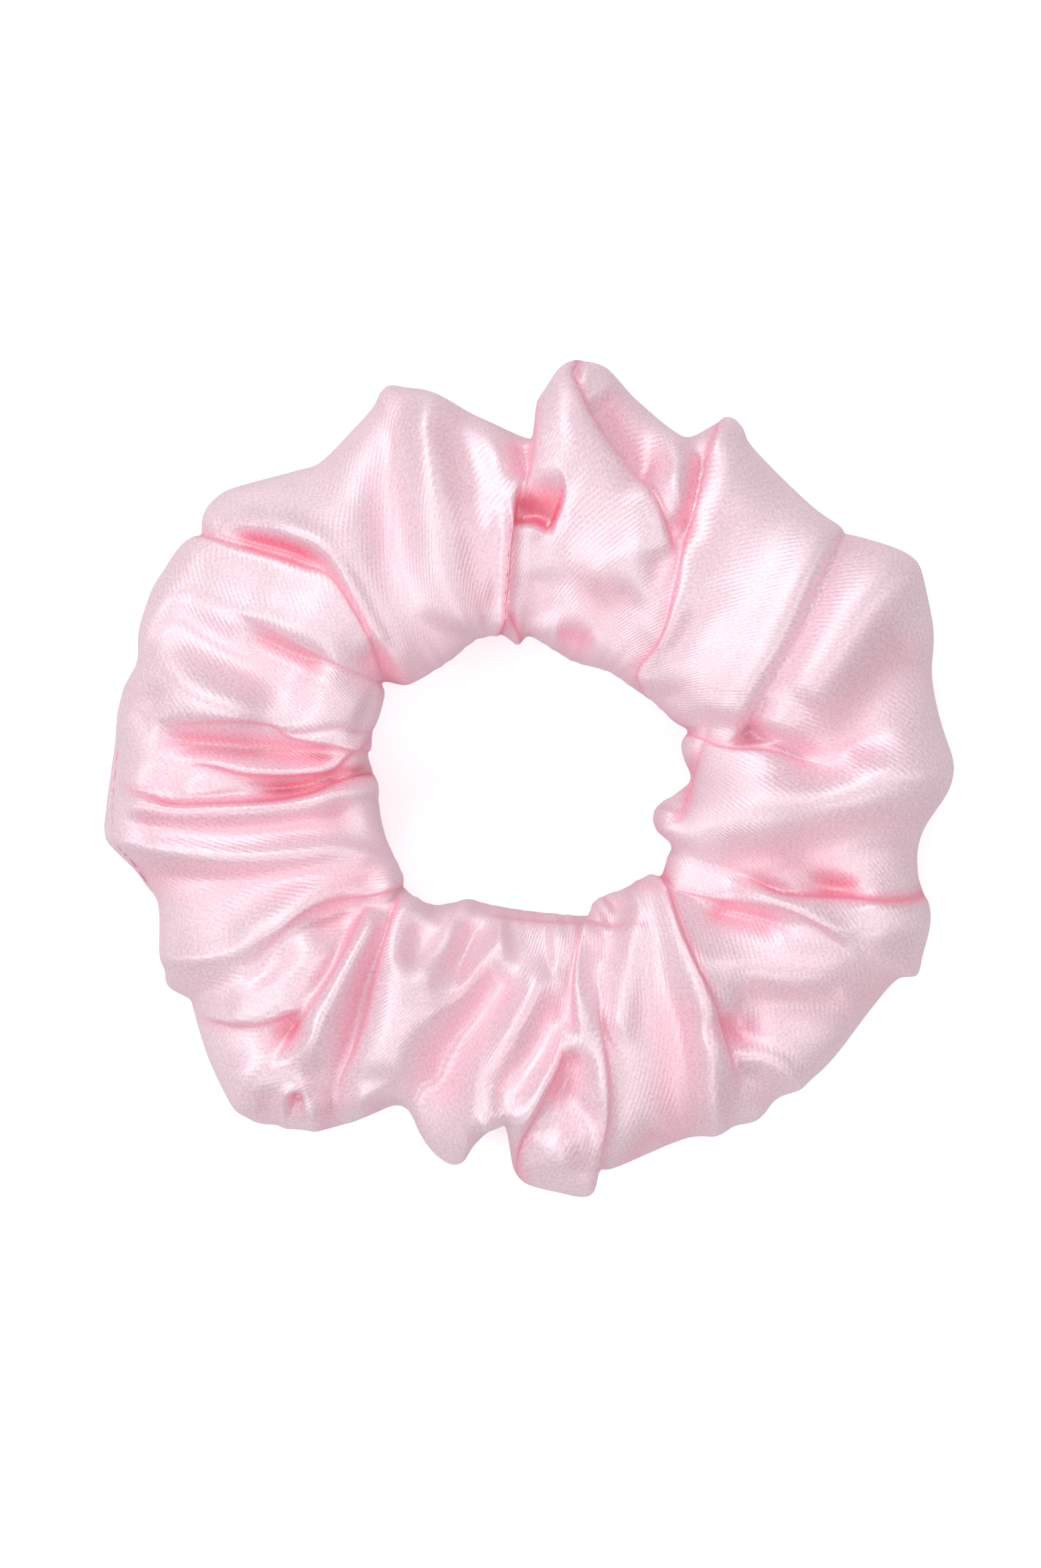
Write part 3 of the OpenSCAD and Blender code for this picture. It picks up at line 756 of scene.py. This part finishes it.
def loft(sections, closed=False):
    """Points and outward faces of a solid through sections, (count, sides, 3). A closed one has
    no ends, and runs from its last section to its first."""
    count, sides = sections.shape[:2]
    faces = []
    for k in range(count if closed else count - 1):
        here, there = k * sides, (k + 1) % count * sides
        for j in range(sides):
            j2 = (j + 1) % sides
            faces.append((here + j, here + j2, there + j2, there + j))
    points = sections.reshape(-1, 3)
    a, b, c, d = (points[[f[k] for f in faces]] for k in range(4))
    volume = (a * np.cross(b, c)).sum() + (a * np.cross(c, d)).sum()
    if not closed:
        last = (count - 1) * sides
        faces += [tuple(range(sides))[::-1], tuple(range(last, last + sides))]
    return points, faces if volume >= 0 else [f[::-1] for f in faces]


def unit(v):
    """Vectors of length 1 in the same directions."""
    return v / (np.linalg.norm(v, axis=-1, keepdims=True) + 1e-12)


def long_seam_edge(back):
    """The cover's outer edge as seen from inside, and the way in from it."""
    rim = back[:, TOP_ROWS // LINING_STEP]
    return rim, unit(-rim * (1, 1, 0))


def cross_seam_edge(back):
    """The line round the tube where its two ends are joined, and the way in from it."""
    ring = back[len(back) // 2]
    return ring, unit(ring.mean(axis=0) - ring)


def layer(edge, inwards, across, depth):
    """Sections of one layer of seam allowance, which stands in from an edge by depth."""
    corners = [(0.1, LAYER_GAP), (depth, LAYER_GAP)]
    corners += [(reach, gap + CLOTH_T) for reach, gap in corners[::-1]]
    return np.stack([edge + inwards * reach + across * gap for reach, gap in corners], axis=1)


def allowances(back):
    """The seam allowances' layers inside the tube: the sections of each, and whether it closes."""
    rim, inwards = long_seam_edge(back)
    layers = [(layer(rim, inwards, UP * side, ALLOWANCE), True) for side in (1, -1)]
    # Round the tube where its ends are joined, but not where the elastic passes through
    ring, inwards = cross_seam_edge(back)
    near_grip = (ring[:, 0] > ring[:, 0].max() - 9) & (np.abs(ring[:, 2] - ELASTIC_Z) < 9)
    start = int(np.argmax(near_grip & ~np.roll(near_grip, -1))) + 1
    order = np.roll(np.arange(len(ring)), -start)
    order = order[~near_grip[order]]
    for side in (1, -1):
        sections = layer(ring[order], inwards[order], ACROSS_SEAM * side, ALLOWANCE - 1)
        layers.append((sections, False))
    return layers


def quad_mesh(name, verts, quads):
    """A smooth mesh of quads."""
    mesh = bpy.data.meshes.new(name)
    mesh.vertices.add(len(verts))
    mesh.vertices.foreach_set("co", (verts * MM).astype(np.float32).ravel())
    mesh.loops.add(quads.size)
    mesh.loops.foreach_set("vertex_index", quads.astype(np.int32).ravel())
    mesh.polygons.add(len(quads))
    mesh.polygons.foreach_set("loop_start", np.arange(0, quads.size, 4, dtype=np.int32))
    mesh.polygons.foreach_set("use_smooth", np.ones(len(quads), bool))
    mesh.update(calc_edges=True)
    return mesh


def weave_corners(weave, quads):
    """The weave's map at each face's corners, unbroken where it starts again."""
    corners = weave[quads.ravel()]
    for axis, size in enumerate((WEAVE_AROUND, WEAVE_OVER)):
        place = corners[:, axis].reshape(-1, 4)
        wraps = (place.max(1) - place.min(1)) > size / 2
        place[wraps] = np.where(place[wraps] < size / 2, place[wraps] + size, place[wraps])
        corners[:, axis] = place.ravel()
    return corners


def add_object(name, data):
    """A new object in the scene."""
    o = bpy.data.objects.new(name, data)
    bpy.context.scene.collection.objects.link(o)
    return o


def build_cover(material):
    """The cover's object, the points of its face, and those of its back."""
    points, pink, weave = cover_surface()
    points = soften(points, 2)
    pink = soften(pink, 4)
    # The back of the cloth is never seen close, so it has fewer points than its face
    few = (slice(None, None, LINING_STEP), slice(None, None, LINING_STEP))
    back = (points - grid_normals(points) * CLOTH_T)[few]
    back_quads = grid_quads(*back.shape[:2])[:, ::-1] + pink.size
    verts = np.concatenate([points.reshape(-1, 3), back.reshape(-1, 3)])
    quads = np.concatenate([grid_quads(*pink.shape), back_quads])
    for sections, closed in allowances(back):
        more, more_quads = loft(sections, closed)
        quads = np.concatenate([quads, np.array(more_quads) + len(verts)])
        verts = np.concatenate([verts, more])

    mesh = quad_mesh("satin_cover", verts, quads)
    # The painted shade goes to the material as a point attribute of the face's points
    depth = np.zeros(len(verts), np.float32)
    depth[: pink.size] = pink.ravel()
    mesh.attributes.new("painted_crease_shade", "FLOAT", "POINT").data.foreach_set("value", depth)
    cloth = np.concatenate([weave.reshape(-1, 2), weave[few].reshape(-1, 2)])
    unmapped = np.zeros((len(verts) - len(cloth), 2))
    corners = weave_corners(np.concatenate([cloth, unmapped]), quads) * MM
    mesh.uv_layers.new(name="weave").data.foreach_set("uv", corners.astype(np.float32).ravel())
    mesh.validate()
    cover = add_object("satin_cover", mesh)
    mesh.materials.append(material)
    return cover, points, back


# ---------------------------------------------------------------------------------------------
# Elastic and stitching
# ---------------------------------------------------------------------------------------------


def build_solids(name, solids, material):
    """One object of closed solids, each given by its sections."""
    verts, faces = [], []
    for sections in solids:
        points, more = loft(sections)
        faces += [tuple(i + len(verts) for i in f) for f in more]
        verts += [tuple(p) for p in points * MM]
    mesh = bpy.data.meshes.new(name)
    mesh.from_pydata(verts, [], faces)
    mesh.polygons.foreach_set("use_smooth", np.ones(len(faces), bool))
    mesh.materials.append(material)
    return add_object(name, mesh)


def elastic_path(a):
    """Radius of the elastic's centreline at angles from the seam. Its end rises onto its start."""
    steps, widen, even, rise_a = 720, 12, 20, 0.6
    ring = np.arange(steps) * 2 * math.pi / steps
    r = radius_by_angle(INNER, ring)
    widest = np.max([np.roll(r, k) for k in range(-widen, widen + 1)], axis=0)
    r = np.mean([np.roll(widest, k) for k in range(-even, even + 1)], axis=0) + ELASTIC_OFF
    base = np.interp((a + math.pi) % (2 * math.pi), ring, r, period=2 * math.pi)
    lap_a = ELASTIC_LAP / base
    return base + LAP_RISE * smooth((a - (2 * math.pi - rise_a - lap_a / 2)) / rise_a)


def elastic_place(a):
    """Points of the elastic's centreline and its outward direction, at angles from the seam."""

    def at(angle):
        r = elastic_path(angle)
        places = [-r * np.cos(angle), -r * np.sin(angle), np.full_like(r, ELASTIC_Z)]
        return np.stack(places, axis=-1)

    return at(a), np.cross(unit(at(a + 0.01) - at(a - 0.01)), UP)


def build_elastic(material):
    """Woven elastic with ribs along it, whose yarns cross it as picks."""
    half_lap = ELASTIC_LAP / 2 / elastic_path(np.zeros(1))[0]
    a = np.linspace(-half_lap, 2 * math.pi + half_lap, 800)
    middle, outwards = elastic_place(a)
    run = distances(middle)[:, None]
    across = np.linspace(-0.5, 0.5, 31)
    rib = np.floor((across + 0.5) * ELASTIC_RIBS * 0.999)
    crown = np.abs(np.sin((across + 0.5) * ELASTIC_RIBS * math.pi)) ** 0.6
    picks = 0.05 * np.cos(2 * math.pi * run / PICK + math.pi * rib[None]) * crown[None]
    rounded = np.sqrt(np.clip(1 - np.abs(2 * across) ** 10, 0, 1))
    half = (ELASTIC_T / 2 * (0.84 + 0.10 * crown)[None] + picks) * rounded[None]
    rise = UP * (across * ELASTIC_W)[None, :, None]
    outer_face = middle[:, None] + rise + outwards[:, None] * half[:, :, None]
    inner_face = middle[:, None] + rise - outwards[:, None] * half[:, :, None]
    sections = np.concatenate([outer_face, inner_face[:, -2:0:-1]], axis=1)
    return build_solids("elastic", [sections], material)


def distances(line):
    """How far along a line of points each one is."""
    return np.concatenate([[0], np.cumsum(np.linalg.norm(np.diff(line, axis=0), axis=1))])


def stitch(start, end, normal, lift=0.1, dip=0.35):
    """Sections of one stitch of two-ply thread, whose ends dip into the cloth."""
    t = np.linspace(0, 1, 13)[:, None]
    length = np.linalg.norm(end - start)
    path = start + (end - start) * t + normal * (lift - dip * np.abs(2 * t - 1) ** 5)
    side = np.cross(unit(end - start), normal)
    turn = np.arange(10) * 2 * math.pi / 10
    plies = 0.86 + 0.14 * np.cos(2 * (turn[None] - 2 * math.pi * t * length / PLY_TURN))
    r = (THREAD_D / 2 * plies * np.where(np.abs(2 * t - 1) > 0.99, 0.4, 1))[:, :, None]
    cos, sin = (f(turn)[None, :, None] for f in (np.cos, np.sin))
    return path[:, None] + r * (cos * side + sin * normal)


def stitch_row(line, normals, **shape):
    """Stitches of one length along a line of points, with a normal for each point."""
    run = distances(line)
    count = max(1, round(run[-1] / STITCH_L))
    row = []
    for k in range(count):
        ends = [run[-1] * (k + share) / count for share in (0.07, 0.93)]
        a, b = (np.array([np.interp(e, run, line[:, axis]) for axis in range(3)]) for e in ends)
        middle = np.interp(sum(ends) / 2, run, np.arange(len(run)))
        row.append(stitch(a, b, unit(normals[int(round(middle))]), **shape))
    return row


def build_join_stitching(material):
    """Zigzag bar tacks on both faces of the elastic's overlap."""
    corners, tack_l, tack_h = 7, 3.6, 4.0
    k = np.arange(corners)
    height = np.where(k % 2 == 0, -0.5, 0.5) * tack_h
    r = elastic_path(np.zeros(1))[0]
    solids = []
    for side in (-1, 1):
        a = (side * ELASTIC_LAP / 4 + (k / (corners - 1) - 0.5) * tack_l) / r
        middle, outwards = elastic_place(a)
        for face, off in ((-1, -ELASTIC_T / 2), (1, ELASTIC_T / 2 + LAP_RISE)):
            p = middle + outwards * off + UP * height[:, None]
            for start, end, normal in zip(p[:-1], p[1:], face * outwards[:-1]):
                solids.append(stitch(start, end, normal, lift=0.02, dip=0.2))
    return build_solids("elastic_join_stitches", solids, material)


def build_seam(name, edge, inwards, across, material):
    """A seam a little inside an edge, seen on both layers of its allowance."""
    line = edge + inwards * 1.0
    line = np.vstack([line, line[:1]])
    solids = []
    for side in (1, -1):
        normals = np.tile(across * side, (len(line), 1))
        solids += stitch_row(line + normals * (LAYER_GAP + CLOTH_T), normals, lift=0.05, dip=0.3)
    return build_solids(name, solids, material)


def build_topstitches(points, material):
    """Edge stitches along the seam side's flat strip, where the cover was turned and closed."""
    quads = grid_quads(*points.shape[:2]).tolist()
    tree = BVHTree.FromPolygons(points.reshape(-1, 3).tolist(), quads)
    line, normals = [], []
    for x, y in spline(TOPSTITCH_LINE, step=0.3):
        place, normal, _, _ = tree.ray_cast(Vector((x, y, 60)), Vector((0, 0, -1)))
        line.append(place)
        normals.append(normal if normal.z > 0 else -normal)
    row = stitch_row(np.array(line), np.array(normals), lift=0.12, dip=0.45)
    return build_solids("turning_gap_stitches", row, material)


# ---------------------------------------------------------------------------------------------
# Materials
# ---------------------------------------------------------------------------------------------


def new_material(name):
    m = bpy.data.materials.new(name)
    m.use_nodes = True
    tree = m.node_tree
    return m, tree, tree.nodes["Principled BSDF"]


def link(tree, a, out, b, into):
    tree.links.new(a.outputs[out], b.inputs[into])


def set_inputs(node, values):
    for name, value in values.items():
        node.inputs[name].default_value = value


def add_noise(tree, place, out, scale, detail):
    """Noise over the place that a node's output gives."""
    noise = tree.nodes.new("ShaderNodeTexNoise")
    set_inputs(noise, {"Scale": scale, "Detail": detail})
    link(tree, place, out, noise, "Vector")
    return noise


def add_range(tree, noise, low, high):
    """A noise's middle values, spread from low to high."""
    spread = tree.nodes.new("ShaderNodeMapRange")
    set_inputs(spread, {"From Min": 0.3, "From Max": 0.7, "To Min": low, "To Max": high})
    link(tree, noise, "Fac", spread, "Value")
    return spread


def add_ramp(tree, source, *stops):
    """A ramp over a node's values, through a colour at each position."""
    ramp = tree.nodes.new("ShaderNodeValToRGB")
    elements = ramp.color_ramp.elements
    for position, _ in stops[1:-1]:
        elements.new(position)
    for element, (position, color) in zip(elements, stops):
        element.position = position
        element.color = (*color, 1)
    link(tree, source, "Fac", ramp, "Fac")
    return ramp


def satin_material():
    m, tree, shader = new_material("satin")
    # Painted shade: deeper, redder colour in creases, hollows and under laps, standing in for their
    # shade
    depth = tree.nodes.new("ShaderNodeAttribute")
    depth.attribute_name = "painted_crease_shade"
    ramp = add_ramp(
        tree, depth, (0, (0.80, 0.56, 0.64)), (0.45, (0.85, 0.39, 0.50)), (1, (0.80, 0.15, 0.25))
    )
    uv = tree.nodes.new("ShaderNodeUVMap")
    uv.uv_map = "weave"
    speckle = add_noise(tree, uv, "UV", 2000, 1)
    cloud = add_noise(tree, uv, "UV", 160, 3)
    twill = tree.nodes.new("ShaderNodeTexWave")
    twill.wave_type = "BANDS"
    twill.bands_direction = "DIAGONAL"
    set_inputs(twill, {"Scale": 520, "Distortion": 1.2, "Detail": 1})
    link(tree, uv, "UV", twill, "Vector")

    tone = tree.nodes.new("ShaderNodeMix")
    tone.data_type = "RGBA"
    tone.blend_type = "MULTIPLY"
    tone.inputs["Factor"].default_value = 1.0
    link(tree, ramp, "Color", tone, 6)
    link(tree, add_range(tree, speckle, 0.84, 1.12), "Result", tone, 7)
    link(tree, tone, 2, shader, "Base Color")
    link(tree, add_range(tree, cloud, 0.50, 0.58), "Result", shader, "Roughness")

    height = tree.nodes.new("ShaderNodeMath")
    height.operation = "ADD"
    link(tree, speckle, "Fac", height, 0)
    link(tree, twill, "Fac", height, 1)
    bump = tree.nodes.new("ShaderNodeBump")
    set_inputs(bump, {"Strength": 0.5, "Distance": 0.00004})
    link(tree, height, "Value", bump, "Height")
    link(tree, bump, "Normal", shader, "Normal")

    tangent = tree.nodes.new("ShaderNodeTangent")
    tangent.direction_type = "UV_MAP"
    tangent.uv_map = "weave"
    link(tree, tangent, "Tangent", shader, "Tangent")
    set_inputs(shader, {
        "Metallic": 0.05,
        "Anisotropic": 0.55,
        "Anisotropic Rotation": 0.25,
        "Specular IOR Level": 1.0,
        "IOR": 2.2,
        "Sheen Weight": 0.12,
        "Sheen Roughness": 0.4,
        "Sheen Tint": (1.0, 0.86, 0.91, 1),
    })
    return m


def fibre_material(name, color, roughness, sheen):
    """Spun yarn, a little uneven in tone."""
    m, tree, shader = new_material(name)
    place = tree.nodes.new("ShaderNodeTexCoord")
    speckle = add_noise(tree, place, "Object", 4000, 2)
    dark = tuple(0.86 * c for c in color)
    link(tree, add_ramp(tree, speckle, (0.3, dark), (0.7, color)), "Color", shader, "Base Color")
    set_inputs(shader, {"Roughness": roughness, "Sheen Weight": sheen})
    return m


# ---------------------------------------------------------------------------------------------
# Floor and lights
# ---------------------------------------------------------------------------------------------

FLOOR_HALF = 1.5
LIGHT_OFF = 0.9


def build_floor():
    """A light table, dim enough to leave the satin's colours as they are."""
    mesh = bpy.data.meshes.new("floor")
    corners = [(x * FLOOR_HALF, y * FLOOR_HALF, 0) for x, y in ((-1, -1), (1, -1), (1, 1), (-1, 1))]
    mesh.from_pydata(corners, [], [(0, 1, 2, 3)])
    material, _, shader = new_material("floor")
    set_inputs(shader, {
        "Base Color": (0.90, 0.895, 0.89, 1),
        "Roughness": 0.85,
        "Emission Color": (1, 1, 1, 1),
        "Emission Strength": 0.35,
    })
    mesh.materials.append(material)
    return add_object("floor", mesh)


def softbox(name, azimuth, elevation, size, power):
    """A rectangular light that faces the origin."""
    lamp = bpy.data.lights.new(name, "AREA")
    lamp.shape = "RECTANGLE"
    lamp.size, lamp.size_y = size
    lamp.energy = power
    o = add_object(name, lamp)
    az, el = math.radians(azimuth), math.radians(elevation)
    way = Vector((math.cos(el) * math.cos(az), math.cos(el) * math.sin(az), math.sin(el)))
    o.location = way * LIGHT_OFF
    o.rotation_euler = (-o.location).to_track_quat("-Z", "Y").to_euler()
    return o


# ---------------------------------------------------------------------------------------------
# Everything, put together
# ---------------------------------------------------------------------------------------------


def stretches(piece, slot_name, *nodes):
    """Bakes the piece's placement into its points, and hides the CAD nodes that it stands for."""
    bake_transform(piece)
    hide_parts(*nodes)


cover, cover_points, cover_back = build_cover(satin_material())
elastic = build_elastic(fibre_material("elastic_yarn", (0.84, 0.82, 0.79), 0.85, 0.3))
thread = fibre_material("thread", (0.80, 0.50, 0.60), 0.5, 0.2)
join_stitches = build_join_stitching(thread)
long_stitches = build_seam("long_seam_stitches", *long_seam_edge(cover_back), UP, thread)
cross_stitches = build_seam(
    "cross_seam_stitches", *cross_seam_edge(cover_back), ACROSS_SEAM, thread
)

stretches(cover, "satin", *GATHER_NODES)
stretches(elastic, "elastic", "elastic_band")
stretches(join_stitches, "thread", "elastic_join_stitching")
stretches(long_stitches, "thread", "long_seam_stitching")
stretches(cross_stitches, "thread", "cross_seam_stitching")
stretches(build_topstitches(cover_points, thread), "thread", "turning_gap_stitching")

floor = build_floor()
# Reflections of the floor would bleach the cover's edges
floor.visible_glossy = False

softbox("light_north", 110, 44, (0.5, 0.25), 3.5)
softbox("light_west", 195, 44, (0.45, 0.25), 2.7)
softbox("light_east", 5, 44, (0.5, 0.3), 1.65)
softbox("light_south", 280, 44, (0.5, 0.3), 1.75)
# Diffusing panel overhead: it fills the hollows and leaves no glare on the satin
overhead = softbox("light_overhead", 90, 89, (0.7, 0.7), 1.9)
overhead.visible_glossy = False

scene = bpy.context.scene
scene.world = bpy.data.worlds.new("world")
scene.world.use_nodes = True
background = scene.world.node_tree.nodes["Background"]
set_inputs(background, {"Color": (1.0, 0.985, 0.985, 1), "Strength": 0.25})

# The camera looks straight down, and sees this height of the plane at MIDDLE_Z
FRAME_H = 203.2
MIDDLE_Z = 14.0
LENS = 200.0
SENSOR = 36.0
camera_data = bpy.data.cameras.new("camera")
camera_data.lens = LENS
camera_data.sensor_width = SENSOR
camera = add_object("camera", camera_data)
camera.location = Vector((-0.65, -0.82, MIDDLE_Z + FRAME_H * LENS / SENSOR)) * MM
scene.camera = camera
scene.view_settings.view_transform = "Standard"
